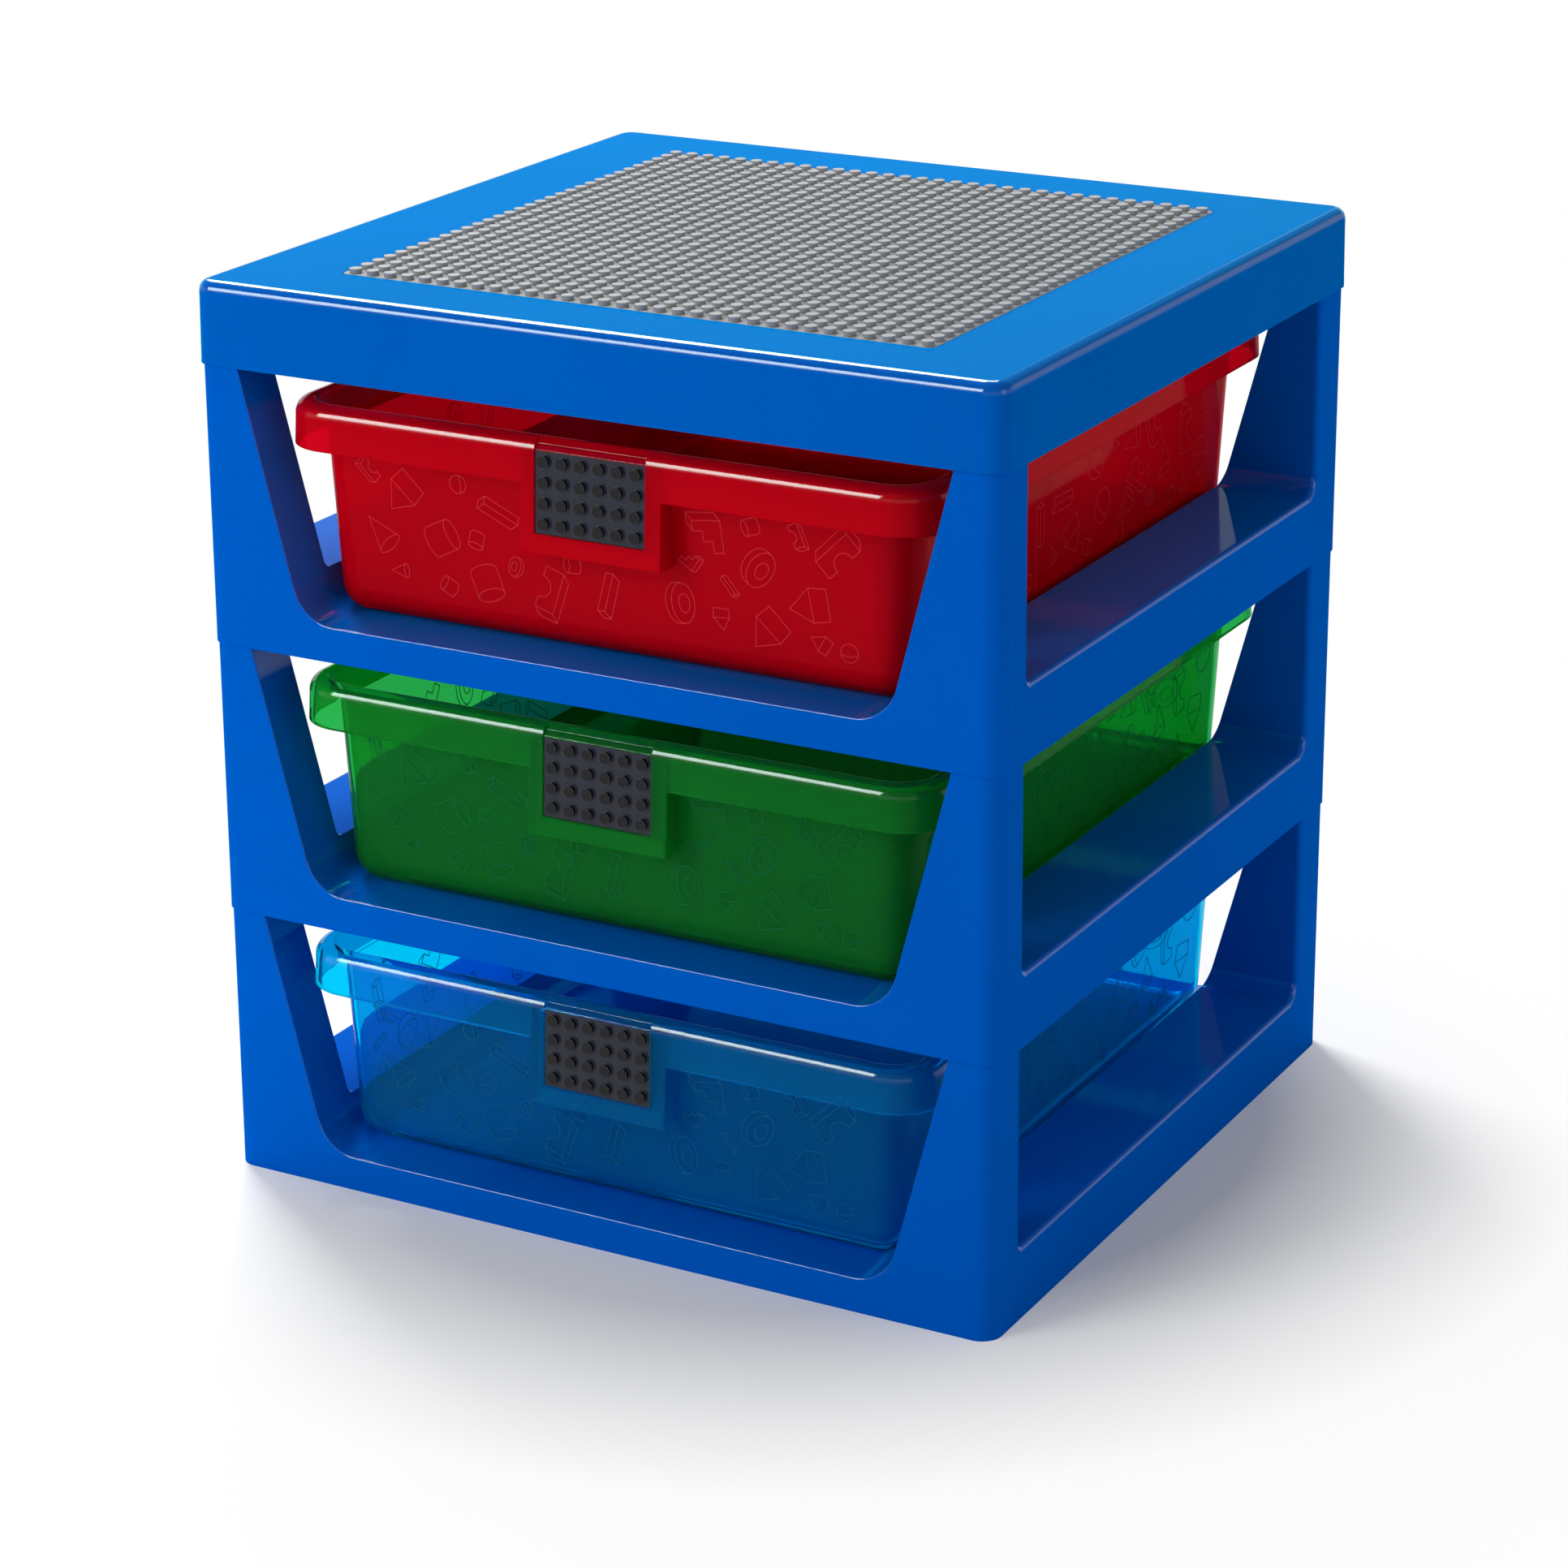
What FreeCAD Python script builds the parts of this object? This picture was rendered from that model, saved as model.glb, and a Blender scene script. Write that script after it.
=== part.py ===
import FreeCAD, Part
import os
import re
from math import cos, pi, sin

import Sketcher

# A drawer storage rack for small toys and building blocks: three equal moulded
# frames plugged into one another, a lid that carries a studded baseplate, and
# three clear drawers, each with a small studded plate set in its handle.
# Frame: X to the right, Y to the back, Z up. The origin is the middle of the
# rack's foot on the floor, and the drawers slide out towards -Y.

Vector = FreeCAD.Vector
doc = FreeCAD.newDocument("DrawerStorageRack")
sheet = doc.addObject("Spreadsheet::Sheet", "Sizes")

TIERS = ("bottom", "middle", "top")
SIDES = (-1, 1)
FIND_EPS = 0.01

# Driving sizes in millimetres. A name that ends in share is a ratio, and one
# that ends in count is a number of copies.
SIZES = {
    # tier frame
    "tier_width": 347.9,
    "tier_depth": 328.5,
    "tier_pitch": 113.4,
    "tier_draft_share": 0.0062,
    "tier_corner_radius": 8.7,
    "tier_wall": 2.6,
    "shelf_height": 14.4,
    "post_width": 19.75,
    "sill_width": 45.6,
    "bay_corner_radius": 18.5,
    "bay_edge_round": 0.6,
    "window_front_post": 23.4,
    "window_back_post": 28.8,
    "window_sill_height": 30.0,
    "window_front_radius": 3.0,
    "window_back_radius": 8.0,
    "window_edge_round": 2.2,
    "plug_height": 8.0,
    "plug_clearance": 0.3,
    "plug_inset": 3.0,
    # lid
    "lid_height": 32.8,
    "lid_overhang": 0.3,
    "lid_draft_share": 0.021,
    "lid_edge_radius": 4.4,
    "plate_gap": 0.35,
    # studs, shared by the baseplate and the handle plates
    "stud_pitch": 8.0,
    "stud_diameter": 4.9,
    "stud_height": 1.7,
    "plate_thickness": 2.0,
    "plate_corner_radius": 2.5,
    "plate_side_count": 32,
    # drawer tub
    "running_gap": 0.3,
    "drawer_headroom": 12.9,
    "drawer_draft_share": 0.0524,
    "tub_side_clearance": 2.35,
    "tub_front_setback": 18.15,
    "tub_back_setback": 11.15,
    "tub_corner_radius": 12.5,
    "tub_foot_radius": 12.0,
    "tub_wall": 2.2,
    "tub_floor": 2.4,
    # drawer rim
    "rim_height": 17.7,
    "rim_side_clearance": 3.8,
    "rim_front_setback": 6.35,
    "rim_back_setback": 1.75,
    "rim_corner_radius": 21.0,
    "rim_shoulder_radius": 5.5,
    "rim_top_wall": 2.4,
    "mouth_side_inset": 8.1,
    "mouth_front_inset": 6.7,
    "mouth_back_inset": 6.1,
    "mouth_flare_depth": 8.5,
    # handle housing and its plate
    "handle_across_count": 6,
    "handle_up_count": 4,
    "handle_plate_thickness": 1.6,
    "handle_plate_gap": 0.1,
    "handle_plate_sink": 0.75,
    "handle_plate_drop": 4.4,
    "handle_pan_floor": 1.6,
    "housing_side_border": 6.8,
    "housing_bottom_border": 8.0,
    "housing_wall": 2.2,
    "housing_edge_round": 0.8,
    "notch_land": 1.3,
    "notch_foot": 3.0,
    # how far a cut runs past the face that it opens
    "overrun": 5.0,
}

# Where each drawer stands in its bay, as shares of its play: to the right of
# the middle, and forward of its seat.
SIDE_SHARES = {"bottom": -0.53, "middle": 0.36, "top": 0.04}
FORWARD_SHARES = {"bottom": 0.22, "middle": 0.05, "top": 0}

for row, (name, number) in enumerate(SIZES.items(), start=1):
    sheet.set("A%d" % row, name)
    sheet.set("B%d" % row, str(number))
    sheet.setAlias("B%d" % row, name)
doc.recompute()


def value(alias):
    return float(sheet.get(alias))


def formula(text):
    """Turn plain size names into references to the sheet's cells."""
    return re.sub(r"[a-z_]+", lambda word: "Sizes." * (word[0] in SIZES) + word[0], text)


# Sizes worked out from the driving ones, as formulas.
HALF_BAY_FLOOR = "(tier_width / 2 - sill_width)"
HALF_BAY_TOP = "(tier_width / 2 - post_width)"
BAY_SLOPE = "((sill_width - post_width) / (tier_pitch - shelf_height))"
PLATE_SIDE = "(plate_side_count * stud_pitch)"
DRAWER_LIFT = "(shelf_height + running_gap)"
DRAWER_HEIGHT = "(tier_pitch - %s - drawer_headroom)" % DRAWER_LIFT
TUB_SIDE = "(%s - tub_side_clearance)" % HALF_BAY_FLOOR
TUB_FRONT = "(tier_depth / 2 - tub_front_setback)"
TUB_BACK = "(tier_depth / 2 - tub_back_setback)"
RIM_FOOT = "(%s - rim_height)" % DRAWER_HEIGHT
RIM_SIDE = ("(%s + (%s + running_gap) * %s - rim_side_clearance)"
            % (HALF_BAY_FLOOR, RIM_FOOT, BAY_SLOPE))
RIM_FRONT = "(tier_depth / 2 - rim_front_setback)"
RIM_BACK = "(tier_depth / 2 - rim_back_setback)"
MOUTH_SIDE = "(%s - mouth_side_inset)" % RIM_SIDE
MOUTH_FRONT = "(%s - mouth_front_inset)" % RIM_FRONT
MOUTH_BACK = "(%s - mouth_back_inset)" % RIM_BACK
FLARE_FOOT = "(%s - mouth_flare_depth)" % DRAWER_HEIGHT
HANDLE_WIDTH = "(handle_across_count * stud_pitch)"
HANDLE_HEIGHT = "(handle_up_count * stud_pitch)"
RECESS_WIDTH = "(%s + 2 * handle_plate_gap)" % HANDLE_WIDTH
RECESS_HEIGHT = "(%s + 2 * handle_plate_gap)" % HANDLE_HEIGHT
RECESS_TOP = "(%s - handle_plate_drop)" % DRAWER_HEIGHT
RECESS_FOOT = "(%s - %s)" % (RECESS_TOP, RECESS_HEIGHT)
RECESS_MIDDLE = "(%s - %s / 2)" % (RECESS_TOP, RECESS_HEIGHT)
HOUSING_FOOT = "(%s - housing_bottom_border)" % RECESS_FOOT
HOUSING_SIDE = "(%s / 2 + housing_side_border)" % RECESS_WIDTH
PAN_DEPTH = "(handle_plate_sink + handle_plate_thickness)"
SHOULDER = "(%s - rim_shoulder_radius)" % DRAWER_HEIGHT


def front_at(height):
    """Y of the drawer's leaning front plane at a height, counted forwards."""
    return "(%s + (%s - %s) * drawer_draft_share)" % (RIM_FRONT, RIM_FOOT, height)


def new_body(name):
    body = doc.addObject("PartDesign::Body", name)
    body.Label = name
    return body


def origin_plane(body, role):
    return [part for part in body.Origin.OriginFeatures if part.Role == role][0]


def outline(body, name, role, lift, corners, lean=None):
    """A closed sketch on an origin plane of the body. Each corner is (x, y) or
    (x, y, radius), in formulas. lift moves the sketch along the plane's normal
    and lean tips it about its own x axis."""
    sketch = body.newObject("Sketcher::SketchObject", name)
    sketch.AttachmentSupport = [(origin_plane(body, role), "")]
    sketch.MapMode = "FlatFace"
    if lift:
        sketch.setExpression("AttachmentOffset.Base.z", formula(lift))
    if lean:
        sketch.AttachmentOffset = FreeCAD.Placement(Vector(), FreeCAD.Rotation(Vector(1, 0, 0), 1))
        sketch.setExpression("AttachmentOffset.Base.y", formula(lean[0]))
        sketch.setExpression("AttachmentOffset.Rotation.Angle", formula(lean[1]))
    count = len(corners)
    start = value("tier_pitch")
    rough = [Vector(cos(2 * pi * i / count), sin(2 * pi * i / count), 0) * start for i in range(count)]
    sketch.addGeometry([Part.LineSegment(rough[i], rough[(i + 1) % count]) for i in range(count)])
    for i in range(count):
        sketch.addConstraint(Sketcher.Constraint("Coincident", i, 2, (i + 1) % count, 1))
    for i, corner in enumerate(corners):
        for kind, place in (("DistanceX", corner[0]), ("DistanceY", corner[1])):
            number = sketch.addConstraint(Sketcher.Constraint(kind, i, 1, 1.0))
            sketch.setExpression("Constraints[%d]" % number, formula(place))
    doc.recompute()
    for i, corner in enumerate(corners):
        if len(corner) > 2:
            sketch.fillet(i, 1, 1.0, True, True)
            arc = max(j for j, g in enumerate(sketch.Geometry) if g.TypeId == "Part::GeomArcOfCircle")
            number = sketch.addConstraint(Sketcher.Constraint("Radius", arc, 1.0))
            sketch.setExpression("Constraints[%d]" % number, formula(corner[2]))
    doc.recompute()
    return sketch


def rectangle(body, name, lift, side, front, back, radius):
    """A rounded rectangle seen from above, from -side to side, -front to back."""
    corners = [("- " + side, "- " + front, radius), (side, "- " + front, radius),
               (side, back, radius), ("- " + side, back, radius)]
    return outline(body, name, "XY_Plane", lift, corners)


def pad(body, name, sketch, length, draft=None):
    feature = body.newObject("PartDesign::Pad", name)
    feature.Profile = sketch
    feature.setExpression("Length", formula(length))
    if draft:
        feature.setExpression("TaperAngle", formula(draft))
    doc.recompute()
    return feature


def wide_pad(body, name, sketch, width):
    feature = pad(body, name, sketch, width)
    feature.SideType = "Symmetric"
    doc.recompute()
    return feature


def pocket(body, name, sketch, depth):
    """A cut away from the sketch's normal."""
    feature = body.newObject("PartDesign::Pocket", name)
    feature.Profile = sketch
    feature.setExpression("Length", formula(depth))
    doc.recompute()
    check_cut(body, feature)
    return feature


def wide_pocket(body, name, sketch, width=None):
    """A cut both ways from the sketch: right through, or width wide in all."""
    feature = body.newObject("PartDesign::Pocket", name)
    feature.Profile = sketch
    if width:
        feature.setExpression("Length", formula(width))
    else:
        feature.Type = "ThroughAll"
    feature.SideType = "Symmetric"
    doc.recompute()
    check_cut(body, feature)
    return feature


def check_cut(body, feature):
    before = feature.getBaseObject().Shape.Volume
    if feature.Shape.Volume >= before:
        raise RuntimeError("%s cuts nothing from %s" % (feature.Name, body.Label))


def loft(body, kind, name, low, high):
    feature = body.newObject("PartDesign::" + kind, name)
    feature.Profile = low
    feature.Sections = [high]
    feature.Ruled = True
    doc.recompute()
    return feature


def fillet(body, name, radius, wanted):
    """Round the edges of the body's last feature whose middle point suits."""
    base = body.Tip
    names = []
    for number, edge in enumerate(base.Shape.Edges, start=1):
        first, last = edge.ParameterRange
        if wanted(edge.valueAt((first + last) / 2)):
            names.append("Edge%d" % number)
    if not names:
        raise RuntimeError("%s finds no edge" % name)
    feature = body.newObject("PartDesign::Fillet", name)
    feature.Base = (base, names)
    feature.setExpression("Radius", formula(radius))
    doc.recompute()
    return feature


def hollow(body, name, core):
    feature = body.newObject("PartDesign::Boolean", name)
    feature.setObjects([core])
    feature.Type = "Cut"
    doc.recompute()
    check_cut(body, feature)
    return feature


def bay_corners(offset):
    """The bay's section, drawn offset outwards and past the top."""
    floor = "(shelf_height - %s)" % offset
    ceiling = "(tier_pitch + plug_height + overrun)"
    at_floor = "(%s + %s - %s * %s)" % (HALF_BAY_FLOOR, offset, offset, BAY_SLOPE)
    at_ceiling = "(%s + %s + (%s - shelf_height) * %s)" % (HALF_BAY_FLOOR, offset, ceiling, BAY_SLOPE)
    radius = "bay_corner_radius + " + offset
    return [("- " + at_floor, floor, radius), (at_floor, floor, radius),
            (at_ceiling, ceiling), ("- " + at_ceiling, ceiling)]


def window_corners(offset):
    """A side window's outline, drawn offset outwards and past the top."""
    front = "- (tier_depth / 2 - window_front_post + %s)" % offset
    back = "(tier_depth / 2 - window_back_post + %s)" % offset
    sill = "(window_sill_height - %s)" % offset
    ceiling = "(tier_pitch + plug_height + overrun)"
    return [(front, sill, "window_front_radius + " + offset), (back, sill, "window_back_radius + " + offset),
            (back, ceiling), (front, ceiling)]


def plug_rectangle(body, name, lift, side, end, inset):
    """One corner plug's outline. It follows the inner face of the skirt that
    it plugs into, and stands in from the window and the bay of its own post."""
    outer_x = "(tier_width / 2 - tier_wall - plug_clearance - %s)" % inset
    outer_y = "(tier_depth / 2 - tier_wall - plug_clearance - %s)" % inset
    post = "window_front_post" if end < 0 else "window_back_post"
    inner_x = "(%s + plug_inset + %s)" % (HALF_BAY_TOP, inset)
    inner_y = "(tier_depth / 2 - %s + plug_inset + %s)" % (post, inset)
    radius = "tier_corner_radius - tier_wall - plug_clearance - %s" % inset
    sign_x = "- " if side < 0 else ""
    sign_y = "- " if end < 0 else ""
    corners = [(sign_x + inner_x, sign_y + inner_y), (sign_x + outer_x, sign_y + inner_y),
               (sign_x + outer_x, sign_y + outer_y, radius), (sign_x + inner_x, sign_y + outer_y)]
    return outline(body, name, "XY_Plane", lift, corners)


def add_plugs(body, prefix, lift, height, inset):
    number = 0
    for side in SIDES:
        for end in SIDES:
            number += 1
            sketch = plug_rectangle(body, "%s_plug_outline%d" % (prefix, number), lift, side, end, inset)
            pad(body, "%s_plug%d" % (prefix, number), sketch, height)


def tier_core(name):
    """What is hollow inside a tier frame, open below."""
    core = new_body(name)
    foot = rectangle(core, name + "_foot", None, "(tier_width / 2 - tier_wall)",
                     "(tier_depth / 2 - tier_wall)", "(tier_depth / 2 - tier_wall)",
                     "tier_corner_radius - tier_wall")
    pad(core, name + "_block", foot, "tier_pitch - tier_wall", "- atan(tier_draft_share)")
    bay = outline(core, name + "_bay_outline", "XZ_Plane", None, bay_corners("tier_wall"))
    wide_pocket(core, name + "_bay", bay)
    window = outline(core, name + "_window_outline", "YZ_Plane", None, window_corners("tier_wall"))
    wide_pocket(core, name + "_window", window)
    add_plugs(core, name, "tier_pitch - 2 * tier_wall", "plug_height + tier_wall", "tier_wall")
    return core


def tier_frame(name, level):
    """One moulded frame: a skirt with the shelf on it, low side sills and four
    hollow posts, with a plug on each post that the next skirt drops over."""
    body = new_body(name)
    foot = rectangle(body, name + "_foot", None, "(tier_width / 2)", "(tier_depth / 2)",
                     "(tier_depth / 2)", "tier_corner_radius")
    pad(body, name + "_block", foot, "tier_pitch", "- atan(tier_draft_share)")
    bay = outline(body, name + "_bay_outline", "XZ_Plane", None, bay_corners("0"))
    wide_pocket(body, name + "_bay", bay)
    window = outline(body, name + "_window_outline", "YZ_Plane", None, window_corners("0"))
    wide_pocket(body, name + "_window", window)

    pitch = value("tier_pitch")
    draft = value("tier_draft_share")
    window_front = -value("tier_depth") / 2 + value("window_front_post")
    window_back = value("tier_depth") / 2 - value("window_back_post")

    def on_window(middle):
        face = value("tier_width") / 2 - middle.z * draft
        inside = window_front - FIND_EPS < middle.y < window_back + FIND_EPS
        above = value("window_sill_height") - FIND_EPS < middle.z < pitch - FIND_EPS
        return abs(abs(middle.x) - face) < FIND_EPS and inside and above

    def on_bay(middle):
        face = value("tier_depth") / 2 - middle.z * draft
        above = value("shelf_height") - FIND_EPS < middle.z < pitch - FIND_EPS
        across = abs(middle.x) < value("tier_width") / 2 - value("post_width") + FIND_EPS
        return abs(abs(middle.y) - face) < FIND_EPS and above and across

    fillet(body, name + "_window_round", "window_edge_round", on_window)
    fillet(body, name + "_bay_round", "bay_edge_round", on_bay)
    add_plugs(body, name, "tier_pitch - tier_wall", "plug_height + tier_wall", "0")
    hollow(body, name + "_hollow", tier_core(name + "_core"))
    body.setExpression("Placement.Base.z", formula("tier_pitch * %d" % level))
    return body


def lid_core(name):
    """What is hollow inside the lid, open below, stepped down under the plate."""
    core = new_body(name)
    foot = rectangle(core, name + "_foot", None, "(tier_width / 2 - tier_wall)",
                     "(tier_depth / 2 - tier_wall)", "(tier_depth / 2 - tier_wall)",
                     "tier_corner_radius - tier_wall")
    pad(core, name + "_block", foot, "lid_height - tier_wall", "- atan(lid_draft_share)")
    half = "(%s / 2 + plate_gap + tier_wall)" % PLATE_SIDE
    step = rectangle(core, name + "_step_outline", "lid_height - tier_wall", half, half, half,
                     "plate_corner_radius + plate_gap + tier_wall")
    pocket(core, name + "_step", step, "plate_thickness")
    return core


def top_lid(name):
    body = new_body(name)
    foot = rectangle(body, name + "_foot", None, "(tier_width / 2 + lid_overhang)",
                     "(tier_depth / 2 + lid_overhang)", "(tier_depth / 2 + lid_overhang)",
                     "tier_corner_radius")
    pad(body, name + "_block", foot, "lid_height", "- atan(lid_draft_share)")
    fillet(body, name + "_edge", "lid_edge_radius",
           lambda middle: middle.z > value("lid_height") - FIND_EPS)
    half = "(%s / 2 + plate_gap)" % PLATE_SIDE
    recess = rectangle(body, name + "_recess_outline", "lid_height", half, half, half,
                       "plate_corner_radius + plate_gap")
    pocket(body, name + "_recess", recess, "plate_thickness")
    hollow(body, name + "_hollow", lid_core(name + "_core"))
    body.setExpression("Placement.Base.z", formula("tier_pitch * %d" % len(TIERS)))
    return body


def stud_baseplate(name):
    """The studded plate in the lid. Its thousand studs are joined row by row,
    each row with the strip of the plate that carries it."""
    count = int(value("plate_side_count"))
    pitch = value("stud_pitch")
    side = count * pitch
    thickness = value("plate_thickness")
    blank = Part.makeBox(side, side, thickness, Vector(-side / 2, -side / 2, 0))
    uprights = [edge for edge in blank.Edges if abs(edge.tangentAt(edge.FirstParameter).z) > 0.5]
    blank = blank.makeFillet(value("plate_corner_radius"), uprights)
    rows = []
    for row in range(count):
        y = (row + 0.5) * pitch - side / 2
        slab = Part.makeBox(side, pitch, thickness, Vector(-side / 2, y - pitch / 2, 0))
        studs = [Part.makeCylinder(value("stud_diameter") / 2, value("stud_height"),
                                   Vector((column + 0.5) * pitch - side / 2, y, thickness))
                 for column in range(count)]
        rows.append(blank.common(slab).fuse(studs))
    plate = doc.addObject("Part::Feature", name)
    plate.Label = name
    plate.Shape = rows[0].fuse(rows[1:]).Solids[0]
    plate.setExpression("Placement.Base.z",
                        formula("tier_pitch * %d + lid_height - plate_thickness" % len(TIERS)))
    doc.recompute()
    return plate


def drawer_core(name):
    """The space inside a drawer: the tub's, and the mouth that flares above it."""
    core = new_body(name)
    foot = rectangle(core, name + "_foot", "tub_floor",
                     "(%s - tub_wall + tub_floor * drawer_draft_share)" % TUB_SIDE,
                     "(%s - tub_wall + tub_floor * drawer_draft_share)" % TUB_FRONT,
                     "(%s - tub_wall + tub_floor * drawer_draft_share)" % TUB_BACK,
                     "tub_corner_radius - tub_wall + tub_floor * drawer_draft_share")
    pad(core, name + "_block", foot, DRAWER_HEIGHT + " + overrun - tub_floor", "atan(drawer_draft_share)")
    fillet(core, name + "_foot_round", "tub_foot_radius - tub_wall",
           lambda middle: abs(middle.z - value("tub_floor")) < FIND_EPS)
    low = flare_outline(core, name + "_flare_low", "- tub_wall")
    high = rectangle(core, name + "_flare_high", DRAWER_HEIGHT, MOUTH_SIDE, MOUTH_FRONT, MOUTH_BACK,
                     "tub_corner_radius - tub_wall + %s * drawer_draft_share" % DRAWER_HEIGHT)
    loft(core, "AdditiveLoft", name + "_flare", low, high)
    return core


def flare_outline(body, name, offset):
    """The tub's wall line where the flare of the mouth starts."""
    grown = "%s * drawer_draft_share %s" % (FLARE_FOOT, offset)
    return rectangle(body, name, FLARE_FOOT, "(%s + %s)" % (TUB_SIDE, grown),
                     "(%s + %s)" % (TUB_FRONT, grown), "(%s + %s)" % (TUB_BACK, grown),
                     "tub_corner_radius + " + grown)


def drawer_rim(body, name):
    """The turned-over rim: a skirt that leans inwards going up, with a rounded
    shoulder, open below."""
    foot = rectangle(body, name + "_rim_foot", RIM_FOOT, RIM_SIDE, RIM_FRONT, RIM_BACK, "rim_corner_radius")
    pad(body, name + "_rim", foot, "rim_height", "- atan(drawer_draft_share)")
    top = body.Tip.Shape.BoundBox.ZMax
    fillet(body, name + "_shoulder", "rim_shoulder_radius", lambda middle: middle.z > top - FIND_EPS)
    core = new_body(name + "_rim_core")
    inner = rectangle(core, name + "_rim_inner", RIM_FOOT, "(%s - tub_wall)" % RIM_SIDE,
                      "(%s - tub_wall)" % RIM_FRONT, "(%s - tub_wall)" % RIM_BACK,
                      "rim_corner_radius - tub_wall")
    pad(core, name + "_rim_space", inner, "rim_height - rim_top_wall", "- atan(drawer_draft_share)")
    hollow(body, name + "_rim_hollow", core)


def drawer_housing(body, name):
    """The block under the rim that holds the handle plate, with a hollow behind
    it for the fingers, open below."""
    block = outline(body, name + "_housing_outline", "YZ_Plane", None, [
        ("- " + front_at(HOUSING_FOOT), HOUSING_FOOT),
        ("- " + TUB_FRONT, HOUSING_FOOT),
        ("- " + TUB_FRONT, DRAWER_HEIGHT),
        ("- (%s - rim_shoulder_radius)" % front_at(DRAWER_HEIGHT), DRAWER_HEIGHT),
        ("- " + front_at(SHOULDER), SHOULDER)])
    wide_pad(body, name + "_housing", block, "2 * " + HOUSING_SIDE)
    foot = block.Shape.BoundBox.ZMin
    rim_foot = doc.getObject(name + "_rim_foot").Placement.Base.z
    back = -value("tier_depth") / 2 + value("tub_front_setback")

    def on_block(middle):
        below = foot - FIND_EPS < middle.z < rim_foot - FIND_EPS
        return below and middle.y < back - FIND_EPS

    fillet(body, name + "_housing_round", "housing_edge_round", on_block)
    ceiling = "(%s - notch_foot)" % RECESS_TOP
    pan_back = "(%s + handle_pan_floor)" % PAN_DEPTH
    fingers = outline(body, name + "_finger_outline", "YZ_Plane", None, [
        ("- (%s - housing_wall)" % front_at(HOUSING_FOOT), HOUSING_FOOT + " - overrun"),
        ("- " + TUB_FRONT, HOUSING_FOOT + " - overrun"),
        ("- " + TUB_FRONT, ceiling),
        ("- (%s - %s)" % (front_at(ceiling), pan_back), ceiling),
        ("- (%s - %s)" % (front_at(RECESS_FOOT), pan_back), RECESS_FOOT + " - handle_pan_floor"),
        ("- (%s - housing_wall)" % front_at(RECESS_FOOT), RECESS_FOOT + " - handle_pan_floor")])
    wide_pocket(body, name + "_fingers", fingers, "2 * (%s - housing_wall)" % HOUSING_SIDE)


def drawer_tub(body, name):
    """The tub's outer wall, and the collar that joins it to the rim's top."""
    foot = rectangle(body, name + "_tub_foot", None, TUB_SIDE, TUB_FRONT, TUB_BACK, "tub_corner_radius")
    pad(body, name + "_tub", foot, DRAWER_HEIGHT, "atan(drawer_draft_share)")
    fillet(body, name + "_tub_round", "tub_foot_radius", lambda middle: abs(middle.z) < FIND_EPS)
    low = flare_outline(body, name + "_collar_low", "")
    high = rectangle(body, name + "_collar_high", "%s - rim_top_wall / 2" % DRAWER_HEIGHT,
                     "(%s + tub_wall / 2)" % MOUTH_SIDE, "(%s + tub_wall / 2)" % MOUTH_FRONT,
                     "(%s + tub_wall / 2)" % MOUTH_BACK,
                     "tub_corner_radius + %s * drawer_draft_share" % DRAWER_HEIGHT)
    loft(body, "AdditiveLoft", name + "_collar", low, high)


def drawer(name, level, tier):
    """A clear tub with a turned-over rim and a handle housing. Its own zero is
    on the tub's underside, in the middle of the rack."""
    body = new_body(name)
    drawer_rim(body, name)
    drawer_housing(body, name)
    drawer_tub(body, name)
    hollow(body, name + "_hollow", drawer_core(name + "_core"))
    recess = outline(body, name + "_recess_outline", "XZ_Plane", front_at(RECESS_MIDDLE), [
        ("- %s / 2" % RECESS_WIDTH, "- %s / 2" % RECESS_HEIGHT),
        ("%s / 2" % RECESS_WIDTH, "- %s / 2" % RECESS_HEIGHT),
        ("%s / 2" % RECESS_WIDTH, "%s / 2" % RECESS_HEIGHT),
        ("- %s / 2" % RECESS_WIDTH, "%s / 2" % RECESS_HEIGHT)],
        (RECESS_MIDDLE, "- atan(drawer_draft_share)"))
    pocket(body, name + "_recess", recess, PAN_DEPTH)
    foot_y = "- (%s - handle_plate_sink)" % front_at(RECESS_TOP)
    top_y = "- (%s + notch_land)" % MOUTH_FRONT
    run_share = "((%s) - (%s)) / handle_plate_drop" % (top_y, foot_y)
    notch = outline(body, name + "_notch_outline", "YZ_Plane", None, [
        (foot_y, RECESS_TOP),
        ("(%s) + overrun * (%s)" % (top_y, run_share), DRAWER_HEIGHT + " + overrun"),
        ("- (%s + overrun)" % RIM_FRONT, DRAWER_HEIGHT + " + overrun"),
        ("- (%s + overrun)" % RIM_FRONT, RECESS_TOP)])
    wide_pocket(body, name + "_notch", notch, RECESS_WIDTH)
    place(body, level, tier, "0", "0")
    return body


def place(body, level, tier, forward, height):
    """Stand a piece of a drawer in its bay."""
    side = "%s * tub_side_clearance" % SIDE_SHARES[tier]
    ahead = "%s * rim_front_setback" % FORWARD_SHARES[tier]
    body.setExpression("Placement.Base.x", formula(side))
    body.setExpression("Placement.Base.y", formula("- (%s) - %s" % (forward, ahead)))
    body.setExpression("Placement.Base.z",
                       formula("tier_pitch * %d + %s + %s" % (level, DRAWER_LIFT, height)))


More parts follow.
